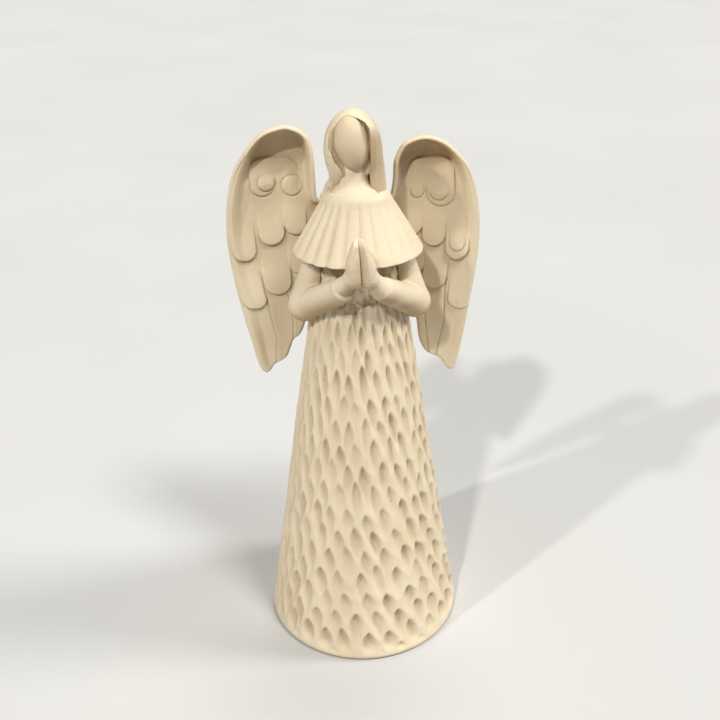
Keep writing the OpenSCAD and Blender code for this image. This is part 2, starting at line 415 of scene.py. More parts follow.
def gouges(angle, z, radius):
    """How deep the cuts go, in shares of full depth: steep and pointed above, running out below."""
    step = TURN / CUTS_ROUND
    sunk = np.zeros_like(z)
    for cut in CUTS:
        pick = np.abs(z[:, 0] - cut.z) < cut.length * 1.2
        if not pick.any():
            continue
        rise, r = z[pick] - cut.z, radius[pick]
        along = rise / cut.length
        off = np.mod(angle[pick] - cut.turn + math.pi, TURN) - math.pi
        across = (off * r + cut.lean * rise) / (step * r * cut.width)
        up = np.clip((along - 0.05) / 0.85, 0, 1)
        down = np.clip((0.45 - along) / 1.55, 0, 1)
        floor = (1 - up**5) * (1 - 0.98 * down**1.15)
        narrow = np.maximum(1 - up**1.5, 0.0) ** 0.62
        d = cut.depth * (floor - 6.6 * (across / np.maximum(narrow, 0.04)) ** 2)
        d = np.where((along > 0.9) | (along < -1.1), 0, d)
        old = sunk[pick]
        sunk[pick] = np.where(np.abs(old - d) < 0.10, smax(old, d, 0.10), np.maximum(old, d))
    return np.clip(sunk, 0, None)


def roughness(angle, z, radius, short, long, seed):
    """Small uneven waves, from short to long, that close round the figure."""
    waves = np.random.default_rng(seed)
    count = 22
    out = np.zeros_like(z)
    for _ in range(count):
        size = waves.uniform(short, long)
        slope = waves.uniform(0, math.pi)
        turns = round(math.cos(slope) * TURN * float(radius.mean()) / size)
        out += np.sin(turns * angle + math.sin(slope) * TURN * z / size + waves.uniform(0, 6.28))
    return out / math.sqrt(count)


def turned(name, node, angle, z, radius, cut, inner):
    """A turned casting: a carved outer skin, closed by a plain inner profile of radius and height."""
    cols = z.shape[1]
    inside = [ring_of(r, angle[0], height) for r, height in inner]
    v = np.concatenate([ring_of(radius, angle, z), inside])
    # Painted shade: the deeper a gouge cuts, the browner its skin; the inside is left plain.
    painted_shade = np.concatenate([np.clip(cut.ravel(), 0, 1.2) ** 1.6, np.zeros(cols * len(inner))])
    piece(name, v.reshape(-1, 3), tube_quads(len(v), cols), node, painted_shade)


def build_gown():
    """The long skirt, carved all over, with a bevelled foot and a hollow that narrows to the deck."""
    foot = FOOT_Z + np.array([0, 0.25, 0.8, 1.6])
    zs = np.concatenate([foot, np.linspace(3.4, WAIST_Z - 0.1, 209), [WAIST_Z]])
    angle, z = np.meshgrid(ring_angles(440), zs)
    base = FOOT_R - (FOOT_R - WAIST_R) * (z - FOOT_Z) / (WAIST_Z - FOOT_Z)
    cut = gouges(angle, z, base) * step01(3.0, 10.0, z)
    bevel = np.interp(z, [1.0, 1.25, 1.8, 2.6, 3.4], [1.5, 0.8, 0.3, 0.08, 0.0])
    uneven = 0.10 * np.sin(3 * angle + z / 30) + 0.08 * np.sin(7 * angle - z / 17)
    uneven = uneven + 0.13 * roughness(angle, z, base, 6, 15, 5)
    socket = SPIGOT_R + GLUE_GAP
    inner = [
        (socket, WAIST_Z), (socket, DECK_Z), (DECK_R, DECK_Z), (PLUG_R - 0.1, PLUG_Z),
        (PLUG_R, PLUG_Z), (PLUG_R, FELT_Z), (FELT_R, FELT_Z), (FELT_R, FOOT_Z),
    ]
    radius = base - bevel + uneven * step01(3.4, 8, z) - cut * full_depth(base)
    turned("gown_look", "gown", angle, z, radius, cut, inner)


def build_bodice():
    """The torso: chipped and ragged where the gown ends, sunk a little behind the hands, smooth above."""
    top = BODICE_Z[-1]
    zs = np.concatenate([[WAIST_Z], np.linspace(WAIST_Z + 0.1, top - 0.1, 84)])
    angle, z = np.meshgrid(ring_angles(340), zs)
    base = np.interp(z, BODICE_Z, BODICE_R)
    cut = gouges(angle, z, base) * (1 - 0.45 * step01(206, 214, z)) * (1 - step01(226, 236, z))
    ragged = 209.2 + 1.2 * np.sin(CUTS_ROUND * angle) + 1.0 * np.sin(11 * angle + 1.0)
    in_front = step01(0.74, 0.86, -np.sin(angle))
    sunk = 1.5 * step01(-0.6, 0.6, z - ragged) * (1 - 0.5 * step01(222, 236, z)) * in_front
    chips = 0.42 * roughness(angle, z, base, 3.2, 7.0, 8) * step01(205, 209, z) * (1 - step01(230, 238, z))
    inner = [(6.0, top), (0.4, top), (0.4, SPIGOT_FOOT), (SPIGOT_R, SPIGOT_FOOT), (SPIGOT_R, WAIST_Z)]
    radius = base - sunk + np.minimum(chips, 0.3) - cut * full_depth(base)
    turned("bodice_look", "bodice", angle, z, radius, cut, inner)


# ---------------------------------------------------------------- cape
CAPE_TOP, CAPE_HEM = 260.0, 231.0
CAPE_T = 2.6
PLEATS = 22
# Round the edge of the collar: how far in from its outside, and how far up from its top
COLLAR_PROFILE = [
    (3.3, -CAPE_T), (3.3, 0.7), (3.0, 0.98), (2.5, 1.15), (1.9, 1.2), (1.1, 1.0), (0.45, 0.55), (0.1, 0.1),
]
# Round the edge of the hem: how far in, and how far down
HEM_PROFILE = [(0.25, 0.35), (0.7, 0.6), (1.3, 0.65), (1.9, 0.45), (2.3, 0.0)]


def cape_z(t):
    """Height on the cape; t runs from 0 at the collar to 1 at the hem."""
    return CAPE_TOP - (CAPE_TOP - CAPE_HEM) * t


def cape_radius(angle, t):
    """Outside of the cape, an oval whose back is flatter than its front."""
    x = 15.6 + 17.6 * t
    y = np.where(np.sin(angle) < 0, 14.6 + 14.6 * t, 14.2 + 10.2 * t)
    return 1 / np.sqrt((np.cos(angle) / x) ** 2 + (np.sin(angle) / y) ** 2)


def pleat_fold(angle, t):
    """Round pleats with narrow valleys between them, deeper on the figure's right."""
    shift = 0.22 * np.sin(3 * angle + 1.0) + 0.12 * np.sin(5 * angle)
    wave = np.abs(np.sin(PLEATS / 2 * (angle + math.pi / 2) + shift)) ** 0.85
    uneven = 1 + 0.22 * np.sin(5 * angle + 0.6) + 0.16 * np.sin(9 * angle + 2.0)
    side = np.cos(angle)
    deep = 1.15 + 0.30 * step01(-0.3, 0.8, -side) - 0.72 * step01(-0.05, 0.55, side)
    opens = step01(0.04, 0.22, t) * (0.5 + 0.5 * t) * (1 - 0.50 * step01(0.85, 1.0, t))
    return deep * uneven * (wave - 0.68) * opens


def build_cape():
    """Ring after ring: over the collar's edge, down the pleats, round the hem and up the lining."""
    cols = 720
    angle = ring_angles(cols)
    rings, painted_shades = [], []

    def ring(radius, z, painted_shade=0.0):
        rings.append(ring_of(radius, angle, z))
        painted_shades.append(np.broadcast_to(painted_shade, angle.shape))

    collar = cape_radius(angle, 0.0)
    lift = 1.3 * np.clip(-np.sin(angle), 0, 1) ** 1.5
    for inset, rise in COLLAR_PROFILE:
        ring(collar - inset, CAPE_TOP + rise + lift * (rise > 0))
    for t in np.linspace(0.03, 1.0, 64):
        fold = pleat_fold(angle, t)
        wavy = 0.25 * fold * step01(0.8, 1.0, t)
        band = 0.35 * (1 - step01(0.05, 0.16, t))
        height = cape_z(t) - wavy + lift * (1 - step01(0, 0.3, t))
        # Painted shade in the pleat valleys, deeper where a fold sinks.
        ring(cape_radius(angle, t) + fold + band, height, np.clip(-0.6 * fold, 0, 1))
    fold = pleat_fold(angle, 1.0)
    edge = cape_radius(angle, 1.0) + fold
    for inset, drop in HEM_PROFILE:
        # Painted shade round the hem's rounded edge, strongest on its underside.
        ring(edge - inset, CAPE_HEM - 0.25 * fold - drop, 0.8 if inset > 0.5 else 0.2)
    # The lining, with painted shade all over it.
    for t in np.linspace(0.97, 0.10, 12):
        ring(cape_radius(angle, t) + 0.6 * pleat_fold(angle, t) - CAPE_T, cape_z(t), 0.8)
    v = np.array(rings)
    quads = tube_quads(len(v), cols)[:, ::-1]
    piece("cape_look", v.reshape(-1, 3), quads, "cape", np.array(painted_shades).ravel())


def cape_solid(p):
    """The cape filled in, which the hair lies on."""
    x, y, z = p
    t = np.clip((CAPE_TOP - z) / (CAPE_TOP - CAPE_HEM), 0, 1)
    side = (np.hypot(x, y) - cape_radius(np.arctan2(y, x), t)) * 0.75
    return np.maximum(side, np.maximum(z - CAPE_TOP - 0.8, CAPE_HEM - 2 - z))


# ---------------------------------------------------------------- head and neck
HEAD_C, HEAD_TILT = (-2.35, -2.6, 285.2), math.radians(8)
HEAD_R, CROWN_H, CHIN_H = 8.45, 12.9, 13.2
NECK_Z = [257.6, 260.8, 261.7, 262.2, 263.0, 264.3, 266.5, 270.0, 274.0, 279.5]
NECK_R = [11.3, 11.3, 11.0, 10.3, 8.9, 7.7, 7.0, 6.6, 6.4, 6.2]
NECK_X = [-0.6, -0.6, -0.6, -0.6, -0.8, -1.0, -1.2, -1.2, -1.5, -1.8]
NECK_Y = [-0.2, -0.2, -0.2, -0.1, 0.1, 0.5, 0.9, 1.2, 1.4, 1.6]


def egg(p, grow=0.0):
    """The blank face: an egg that comes to a soft chin, pushed forward over the neck."""
    x, y, z = (p[i] - HEAD_C[i] for i in range(3))
    across = x * math.cos(HEAD_TILT) + z * math.sin(HEAD_TILT)
    up = -x * math.sin(HEAD_TILT) + z * math.cos(HEAD_TILT)
    up = np.where(up > 0, up / (CROWN_H + grow), up / (CHIN_H + grow))
    low = np.clip(-up, 0, 1.2) ** 2
    r = (HEAD_R + grow) * (1 - 0.19 * low)
    out = np.sqrt((across / r) ** 2 + ((y + 2.0 * low) / r) ** 2 + up * up) - 1
    return out * (8.0 + grow) * 0.95


def build_head():
    """The egg, with painted shade: a darker tone all over for the face's shade, and more of it under the chin
    where it faces down.
    """
    v, quads, down = carve(egg, (-14, -13, 270), (9, 8, 301), 0.3)
    piece("head_look", v, quads, "head", 0.38 + 0.8 * step01(-0.05, 0.75, down))


def neck_solid(p, grow):
    """The neck and its flange, grown a little, for fitting the hair round them."""
    x, y, z = p
    r, cx, cy = (np.interp(z, NECK_Z, values) for values in (NECK_R, NECK_X, NECK_Y))
    side = (np.hypot(x - cx, y - cy) - r - grow) * 0.8
    return np.maximum(side, np.maximum(z - NECK_Z[-1] - grow, NECK_Z[0] - z))


def build_neck():
    """A slender neck that flares into a broad flange, with two faint cords down its front."""
    cols = 128
    angle = ring_angles(cols)
    z = np.linspace(NECK_Z[0], NECK_Z[-1], 64)
    soft = np.ones(5) / 5
    r, cx, cy = (
        np.convolve(np.pad(np.interp(z, NECK_Z, values), 2, "edge"), soft, "valid")[:, None]
        for values in (NECK_R, NECK_X, NECK_Y)
    )
    z = z[:, None]
    cords = 0.28 * (bell(angle - 5.1, 0.22) + bell(angle - 4.2, 0.25))
    radius = r + cords * step01(260, 266, z)
    broad = 1 + 0.07 * (1 - step01(260, 265, z))
    wall = ring_of(radius, angle, z, cx, cy)
    wall[..., 0] = cx + broad * radius * np.cos(angle)
    top = [ring_of(q, angle, 279.6, cx[-1], cy[-1]) for q in (3.0, 0.3)]
    bottom = [ring_of(q, angle, 257.5, cx[0], cy[0]) for q in (0.3, 5.0)]
    v = np.concatenate([wall, top, bottom])
    piece("neck_look", v.reshape(-1, 3), tube_quads(len(v), cols), "neck")


# ---------------------------------------------------------------- hair
# The lock that hangs down the figure's left, seen from the front
LOCK_EDGE = [
    (-12.0, 303.0), (-8.0, 300.0), (-2.6, 297.9), (0.8, 296.9), (4.0, 295.4), (5.9, 292.8),
    (6.3, 289.6), (6.5, 284.0), (6.6, 278.0), (6.5, 271.8), (6.3, 267.6), (7.0, 262.0),
    (8.0, 255.0), (20.0, 255.0), (20.0, 282.0), (18.0, 300.0), (4.0, 305.0),
]
# The opening in front of the face and the neck
FACE_GAP = [
    (-5.2, 298.6), (-7.4, 297.0), (-9.3, 294.7), (-11.6, 291.2), (-12.7, 287.3), (-12.7, 284.0),
    (-11.6, 281.4), (-9.9, 279.6), (-8.2, 277.0), (-7.1, 273.6), (-6.9, 270.5), (-8.2, 266.5),
    (-10.2, 263.0), (-10.5, 255.0), (9.0, 255.0), (10.0, 280.0), (8.0, 293.0), (2.0, 298.0),
]
# Down the figure's right and back over the shoulder, and down its left; each point has its radius
RIGHT_SWEEP = [
    (-9.2, -1.6, 289, 4.6), (-10.6, -0.8, 281, 5.0), (-9.3, 1.6, 271.5, 4.6),
    (-9.0, 5.2, 265.5, 4.1), (-10.6, 9.4, 260.4, 4.4), (-13.6, 14.6, 252.5, 4.6),
]
LEFT_LOCK = [
    (4.2, -3.6, 291, 5.4), (7.0, -1.0, 282, 4.8), (8.9, 0.2, 272, 4.7), (9.7, -0.4, 263, 4.6),
    (9.4, -1.6, 256, 4.5),
]


def hair_strands(x, y, z):
    """Fine ridges down the sides and, deeper, down the back."""
    ridges = np.sin(2.1 * x + 0.35 * np.sin(z / 6) - 0.03 * z) * 0.10 + 0.05 * np.sin(4.7 * x + z / 9)
    beside = step01(297, 285, z) * step01(6.0, 10.0, np.abs(x + 2))
    behind = 2.6 * step01(299, 288, z) * step01(5.0, 10.0, y)
    return ridges * np.maximum(beside, behind)


def build_hair():
    """A cap over the back of the head, cut open round the face, with its sweep and its lock."""
    lo, hi, grain = (-24, 250), (22, 306), 0.2
    lock_edge = Sheet(lo, hi, grain, lambda x, z: line_distance(x, z, LOCK_EDGE, True))
    face_gap = Sheet(lo, hi, grain, lambda x, z: line_distance(x, z, smooth_loop(FACE_GAP), True))

    def field(p):
        x, y, z = p
        xx, zz = x + 0 * z, z + 0 * x
        cap = ellipsoid(p, (-1.8, 2.6, 282.5), (13.6, 13.0, 17.4))
        drape = ellipsoid(p, (-0.6, 8.8, 269.5), (12.2, 8.4, 16.0))
        body = smin(smin(cap, drape, 2.5), swept(p, RIGHT_SWEEP, 0.8), 1.5)
        body = smax(body, -smax(face_gap.at(xx, zz), y + 3.2, 2.2), 1.2)
        clear = 2.4 * step01(1.5, 8.0, np.hypot(x + 5, z - 298.5)) - 0.6 * step01(-2, 5, x)
        body = smax(body, -smax(egg(p) - clear, y + 3.6, 1.6), 0.8)
        strip = smax(smax(egg(p, 0.5), -(y + 6.6), 0.3), 3.0 - x, 1.0)
        body = smin(body, strip, 0.4)
        lock = smin(swept(p, LEFT_LOCK, 0.8), ellipsoid(p, (4.6, 4.0, 274), (7.6, 9, 18)), 1.5)
        lock = smin(lock, cap - 0.35 * step01(-6, 1, x), 2.5)
        body = smin(body, smax(lock, lock_edge.at(xx, zz), 0.5), 0.5)
        body = body + hair_strands(x, y, z)
        body = smax(body, -egg(p, -0.03), 0.06)
        body = smax(body, -neck_solid(p, -0.03), 0.06)
        body = smax(body, -cape_solid(p), 0.1)
        return smax(body, 251.5 - z, 1.0)

    v, quads, down = carve(field, (-22, -18, 249), (18, 22, 303), 0.33)
    x, y, z = v.T
    # Painted shade: in the recess round the face, over the lock where the head shades it, and under surfaces
    # that face down.
    shade_beside_face = step01(3.2, 0.3, egg(v.T)) * step01(297, 291, z)
    over_lock = step01(5.6, 7.0, x) * step01(15.5, 12.0, x) * step01(294, 287, z) * step01(258, 263, z)
    shaded_lock = 0.95 * over_lock * step01(5, 1, y)
    painted_shade = np.clip(shade_beside_face + shaded_lock + 0.4 * step01(0.2, 0.9, down), 0, 1)
    piece("hair_look", v, quads, "hair", painted_shade)


def on_side(v, quads, side):
    """The left's mesh as it is for side 1, or mirrored for side -1."""
    return (v, quads) if side > 0 else (v * (-1, 1, 1), quads[:, ::-1])


def body_radius(z, foot, foot_r, rings):
    """Outside of the body from a level on the gown up through the bodice's first rings."""
    return np.interp(z, [foot, *BODICE_Z[:rings]], [foot_r, *BODICE_R[:rings]])


# ---------------------------------------------------------------- arms and hands
# Both arms are shaped as the left one and the right is then mirrored
SHOULDER, SHOULDER_R = (18.6, -2.0, 234.8), 6.6
ELBOW, ELBOW_R = (28.3, -7.6, 203.6), 8.1
CUFF, CUFF_R = (8.4, -33.2, 222.4), 6.0
HAND_HEEL, HEEL_R = (5.0, -36.0, 228.4), 4.0
PALM_Z = [223.4, 224.4, 226.2, 228.6, 231, 236, 239, 242, 244.5, 247, 248.8, 249.6, 251]
PALM_WIDE = [0.2, 3.6, 5.8, 7.0, 7.4, 7.2, 6.5, 5.2, 4.2, 3.2, 2.1, 0.3, 0.1]
PALM_DEEP = [0.2, 3.0, 4.8, 5.6, 5.8, 5.7, 5.4, 5.0, 4.4, 3.6, 2.4, 0.4, 0.1]
# cuff: how far past its end point the sleeve runs, and how round its end is
HANDS = {
    1: dict(
        swell=0.5, ridge=[3.6, 2.8, 0.9], inward=0.62, seam=2.2,
        wrist=(9.45, -31.85, 221.4), wrist_r=5.9, cuff=(2.0, 6.0),
    ),
    -1: dict(
        swell=-0.1, ridge=[4.0, 3.4, 0.6], inward=0.28, seam=0.7,
        wrist=(10.4, -32.0, 222.2), wrist_r=5.0, cuff=(0.9, 2.6),
    ),
}


def hand_solid(p, side):
    """One flat hand with its palm on the middle plane, two facets outside, and its wrist."""
    h = HANDS[side]
    x, y, z = p
    x = x + side * (0.6 + 0.05 * (z - 228))
    wide, deep = np.interp(z, PALM_Z, PALM_WIDE), np.interp(z, PALM_Z, PALM_DEEP)
    wide = wide + h["swell"] * step01(240, 232, z)
    middle = np.interp(z, [220, 232, 240, 249], [-36.0, -36.6, -36.8, -37.4])
    squareness = 2.3
    q = np.abs(x / wide) ** squareness + np.abs((y - middle) / deep) ** squareness
    palm = (q ** (1 / squareness) - 1) * np.minimum(wide, deep) * 0.8
    ridge = np.interp(z, [228, 240, 246], h["ridge"])
    inner, outer = np.clip(ridge - x, 0, 9), np.clip(x - ridge, 0, 9)
    facet = middle - deep + 0.9 + h["inward"] * inner - 0.9 * outer + 0.24 * np.clip(z - 240, 0, 12)
    palm = smax(palm, (facet - y) * 0.8, 0.4)
    wrist = limb((x, y, z), HAND_HEEL, h["wrist"], HEEL_R, h["wrist_r"])
    return smax(smin(palm, wrist, 2.0), 0.02 - x, 0.4)


def arm_solid(p, side):
    """Upper arm and forearm, ended at the cuff and hollowed to lie on the body."""
    along = np.array(CUFF) - np.array(ELBOW)
    along = along / np.linalg.norm(along)
    upper = limb(p, SHOULDER, ELBOW, SHOULDER_R, ELBOW_R)
    d = smin(upper, limb(p, ELBOW, CUFF, ELBOW_R, CUFF_R), 1.6)
    past_cuff = sum((p[i] - CUFF[i]) * along[i] for i in range(3))
    length, rounding = HANDS[side]["cuff"]
    d = smax(d, past_cuff - length, rounding)
    return smax(d, (body_radius(p[2], 195, 26.2, 4) - np.hypot(p[0], p[1])) * 0.97, 0.4)


def build_arms():
    """Both arms and both hands, each with painted shade on its underside and along the seam between the
    palms.
    """
    for side, which in ((1, "left"), (-1, "right")):
        v, quads, down = carve(lambda p: arm_solid(p, side), (0.5, -42, 193), (39, 8, 244), 0.42)
        # Painted shade that darkens the arm towards its underside.
        painted_shading = 1.4 * step01(-0.4, 0.7, down) ** 1.3
        piece(f"arm_{which}_look", *on_side(v, quads, side), f"arm_{which}", painted_shading)

        v, quads, down = carve(lambda p: hand_solid(p, side), (-3.0, -45, 216), (17, -25, 252), 0.27)
        x, y, z = v.T
        # Painted shadow along the palm seam, wider on the hand that the other one shades, and painted shade
        # on the underside.
        seam = 0.8 * np.exp(-x / HANDS[side]["seam"]) * (y < -36) * step01(249, 243, z)
        painted_shading = np.clip(1.4 * step01(-0.4, 0.7, down) ** 1.3 + seam, 0, 1.4)
        piece(f"hand_{which}_look", *on_side(v, quads, side), f"hand_{which}", painted_shading)


# ---------------------------------------------------------------- wings
# Both are shaped as the left one, over x and z, and the right is then mirrored. In each:
# rim: how many outline points the rolled rim follows
# plateau: middle x and z, half width, half height of the panel at the top
# shade in the hollow: the level below which the painted shade there fades from strong to light, and its two
# strengths
# curls, feathers, overlaps: one row for each, with what the function of that name takes after x and z
RIM_Y = 20.0
HOLLOW_Z = [146, 160, 175, 190, 215, 240, 262, 290]
HOLLOW_DEPTH = [0.9, 1.8, 2.8, 3.6, 5.4, 8.6, 12.0, 12.6]
ROOT_MIDDLE, ROOT_HALF = (11.5, 24, 216), (5.5, 7, 11)
WINGS = {
    1: dict(
        outline=[
            (17.5, 249), (19.6, 257.7), (20.4, 268.9), (24.2, 276.8), (28.8, 279.9), (35.8, 281.5),
            (43, 280.0), (49.2, 276.4), (55.5, 270.2), (60.2, 263.2), (64.3, 250), (66.4, 232.7),
            (65.8, 212.9), (62.8, 188.7), (59.6, 166.5), (56.9, 151.8), (55.4, 147.3), (53.4, 145.9),
            (51.2, 147.0), (49.2, 149.6), (46.6, 153.2), (43.4, 155.0), (39.4, 157.2), (36.2, 161.8),
            (34.4, 168), (33.2, 177.7), (30, 188), (22, 196), (12, 201), (7, 212), (7, 236), (12, 244),
        ],
        rim=17,
        crown=281.5,
        hollow_shade=(263.0, 1.1, 0.46),
        plateau=(40.6, 254.0, 12.2, 13.2),
        curls=[
            (45.6, 249.4, 7.3, 0.75, -3.5, 0.6), (44.6, 249.9, 4.6, 0.5, -3.3, 0.3),
            (33.5, 250.2, 3.7, 0.7, -3.6, 0.6),
        ],
        feathers=[
            (41.9, 220.8, 6.2, 21.6, 2.17, 0.03), (30.6, 227, 5.6, 15.8, 2.03, 0),
            (54, 213.9, 6.2, 18.7, 3.19, 0.07), (54.3, 219, 4.2, 20, 0.6, 0.07),
            (42.2, 197.2, 6.8, 23, 2.03, 0.1), (56.6, 184.8, 6.9, 25.9, 2.03, 0.1),
            (31, 205, 5.6, 18.7, 1.89, 0.03),
        ],
        overlaps=[
            ([
                (50.2, 212), (48.6, 200), (48.6, 185), (48.4, 177.6), (46.8, 169.3), (45.0, 160),
                (44.2, 152.0),
            ], 1.0),
            ([(37.4, 199), (36.9, 185), (38.6, 170), (40.2, 156)], 0.6),
        ],
    ),
    -1: dict(
        outline=[
            (19.0, 250), (20.0, 260), (20.3, 271), (21.8, 279.6), (24.8, 284.5), (30.2, 287.6),
            (36, 288.4), (45.7, 285.4), (52.5, 279.6), (59.2, 270.6), (63.5, 261.3), (66.4, 248.5),
            (67.6, 236.3), (67.7, 224.4), (65.7, 204.8), (62.8, 186.8), (59.9, 172), (57, 157.4),
            (54.9, 151.2), (52.3, 148.8), (49.6, 150.2), (46.8, 153.6), (43.4, 155.4), (39.8, 158.2),
            (37.6, 163.2), (35.6, 168.2), (31.8, 171.4), (28.9, 177.6), (27, 187), (20, 195),
            (12, 201), (7, 212), (7, 236), (12, 245),
        ],
        rim=19,
        crown=288.4,
        hollow_shade=(268.0, 0.75, 0.28),
        plateau=(41.8, 256.6, 12.4, 13.4),
        curls=[
            (47.4, 257.0, 6.4, 0.6, -3.35, 0.1), (45.4, 257.6, 4.3, 0.7, -3.6, 0.9),
            (32.4, 255.0, 5.3, 0.8, -2.6, 2.6),
        ],
        feathers=[
            (58.7, 217, 6.2, 24.5, 2.17, 0.06), (44.2, 224.6, 6.8, 18.7, 2.32, 0),
            (31.6, 229.4, 6, 17.3, 2.03, 0), (55, 189, 6.9, 25.9, 2.03, 0.14),
            (42.2, 196.9, 7.5, 24.5, 2.17, 0.04), (30.4, 208, 5.8, 18.7, 1.89, 0),
        ],
        overlaps=[
            ([(52.0, 214), (49.6, 200), (46.8, 182), (44.5, 170.3), (45.2, 160), (46.2, 150.0)], 1.1),
            ([(37.4, 201), (36.4, 190), (34.9, 179.2), (35.3, 170), (36.2, 160.0)], 0.9),
        ],
    ),
}


def plateau(x, z, middle_x, middle_z, half_w, half_h):
    """The panel with rounded corners at the top of the hollow, and painted shade along its upper edge."""
    corner = 7
    qx, qz = np.abs(x - middle_x) - half_w + corner, np.abs(z - middle_z) - half_h + corner
    box = np.hypot(np.maximum(qx, 0), np.maximum(qz, 0)) + np.minimum(np.maximum(qx, qz), 0) - corner
    start = middle_x - half_w
    rises = step01(middle_z - 12, middle_z + 4, z) * step01(start - 2, start + 6, x)
    raised = 1.8 * step01(0.7, -0.5, box) * rises
    return raised, 0.6 * bell(box - 0.4, 0.6) * step01(middle_z - 2, middle_z + 7, z)


def curl(x, z, middle_x, middle_z, r, height, start, end):
    """A round scroll end: a low dome with a groove round it from one angle to another, and painted shade in
    the groove.
    """
    dx, dz = x - middle_x, z - middle_z
    away = np.hypot(dx, dz)
    middle, half = (start + end) / 2, (end - start) / 2
    off = np.abs(np.mod(np.arctan2(dz, dx) - middle + math.pi, TURN) - math.pi)
    seen = 1 - step01(half - 0.7, half + 0.4, off)
    dome = height * step01(0.5, -0.5, away - r) * (0.55 + 0.45 * np.clip(1 - away / r, 0, 1))
    groove = 0.55 * bell(away - r - 0.15, 0.5) * seen
    return dome * (0.75 + 0.25 * seen) - groove, groove * 1.5


def feather(x, z, tip_x, tip_z, half_w, length, height, lean):
    """A rounded plate that lifts off the surface at its lower end and sinks back into it above, with painted
    shade just outside its edge that fades upward with it.
    """
    dx = x - tip_x - lean * (z - tip_z)
    dz = z - tip_z - half_w
    inside = np.where(dz < 0, half_w - np.hypot(dx, dz), half_w - np.abs(dx))
    up = np.clip((z - tip_z) / length, 0, 1)
    fades = 1 - step01(0.1, 0.8, up)
    lift = height * (1 - step01(0.05, 0.95, up))
    plate = lift * (0.80 + 0.20 * np.clip(inside / half_w, 0, 1) ** 0.5) * step01(-0.25, 0.30, inside)
    return plate - 0.22 * fades * bell(inside + 0.5, 0.4), fades * bell(inside + 0.35, 0.5)


def overlap(x, z, points, height):
    """The long edge of a feather that lies over its outer neighbour, with painted shade along that edge."""
    pts = np.array(points)[::-1]
    foot, top = pts[0, 1], pts[-1, 1]
    on = step01(foot - 3, foot, z) * step01(top, top - 8, z)
    inward = np.interp(z, pts[:, 1], pts[:, 0]) - x
    plate = 1.4 * height * np.exp(-np.clip(inward, 0, None) / 7.0) * step01(-0.3, 0.3, inward)
    return on * (plate - 0.6 * bell(inward + 0.3, 0.4)), on * bell(inward, 0.5) * 0.8


def wing_relief(w, x, z):
    """All that stands up from the hollow front, and the painted shade in the creases along it."""
    parts = [plateau(x, z, *w["plateau"])]
    parts += [curl(x, z, *spec) for spec in w["curls"]]
    parts += [feather(x, z, *spec) for spec in w["feathers"]]
    parts += [overlap(x, z, *spec) for spec in w["overlaps"]]
    return [sum(layer) for layer in zip(*parts)]


def wing_hollow(w, x, z, from_rim):
    """Depth of the hollow front: steep behind the rolled rim, and stepped and shallower outside."""
    crown = w["crown"]
    outer = step01(46, 56, x) * step01(crown - 6, crown - 22, z)
    shallow = 0.48 * step01(36, 58, x) * step01(crown - 10, crown - 34, z) * step01(170, 200, z)
    begin = 1.5 + 1.3 * outer
    fall = (1 - 0.10 * outer) * step01(begin, begin + 4.6 + 1.0 * outer, from_rim) ** 0.8
    fall = fall + 0.10 * outer * step01(1.1, 1.9, from_rim)
    return np.interp(z, HOLLOW_Z, HOLLOW_DEPTH) * (1 - shallow) * fall


def build_wing(side, node):
    """A blade between a front and a back sheet, cut to its outline, with its root block at the body."""
    w = WINGS[side]
    lo, hi, grain = (2, 140), (72, 294), 0.22
    loop = smooth_loop(w["outline"])
    rim = loop[: w["rim"] * len(loop) // len(w["outline"])]
    edge = Sheet(lo, hi, grain, lambda x, z: line_distance(x, z, loop, True))
    x, z = edge.points()
    from_rim = line_distance(x, z, rim)
    depth = wing_hollow(w, x, z, from_rim)
    raised, crease_shading = wing_relief(w, x, z)
    raised = raised * step01(0.4, 4.0, from_rim) * step01(0.3, 1.5, -edge.values)
    front = Sheet(lo, hi, grain, RIM_Y + smax(depth - raised, 0.0, 0.5))
    hollow, relief, crease_shade = (Sheet(lo, hi, grain, q) for q in (depth, raised, np.clip(crease_shading, 0, 1)))

    def field(p):
        x, y, z = p
        xx, zz = x + 0 * z, z + 0 * x
        set_back = 5.5 * step01(26, 12, xx) * step01(252, 242, zz)
        thick = np.interp(zz, [146, 175, 220, 290], [2.8, 3.2, 3.8, 4.6])
        echo = 0.45 * relief.at(xx, zz) * step01(9, 16, xx)
        back = RIM_Y + hollow.at(xx, zz) + thick + echo
        slab = smax(front.at(xx, zz) + set_back - y, y - back - set_back, 1.2) * 0.8
        d = smax(slab, edge.at(xx, zz), 2.0)
        rx, ry, rz = (np.abs(q - c) - h for q, c, h in zip(p, ROOT_MIDDLE, ROOT_HALF))
        d = smin(d, np.maximum(rx, np.maximum(ry, rz)) + 1.0, 1.5)
        body = body_radius(z, 150, 33.3, 3) + GLUE_GAP
        return smax(d, (body - np.hypot(x, y)) * 0.97, 0.3)

    v, quads, down = carve(field, (2.5, 12, 143), (70.5, 43, round(w["crown"] + 2.5)), 0.45)
    x, y, z = v.T
    # Painted shade: strong deep in the hollow under the rolled rim, lighter where the hollow is shallower, in
    # the relief's creases, and under surfaces near the top that face down.
    on_front = step01(3.0, 1.0, y - front.at(x, z))
    level, strong, light = w["hollow_shade"]
    deep = strong * step01(3.0, 6.5, hollow.at(x, z)) * step01(-7.0, 6.0, z - level)
    hollow_shade = on_front * np.maximum(light * step01(2.0, 4.0, hollow.at(x, z)), deep)
    under = 0.9 * step01(0.25, 0.85, down) * step01(230, 262, z)
    lines = crease_shade.at(x, z) * on_front * 0.7 + under
    painted_shade = np.clip(np.maximum(lines, hollow_shade) + 0.4 * np.minimum(lines, hollow_shade), 0, 1.5)
    piece(f"{node}_look", *on_side(v, quads, side), node, painted_shade)


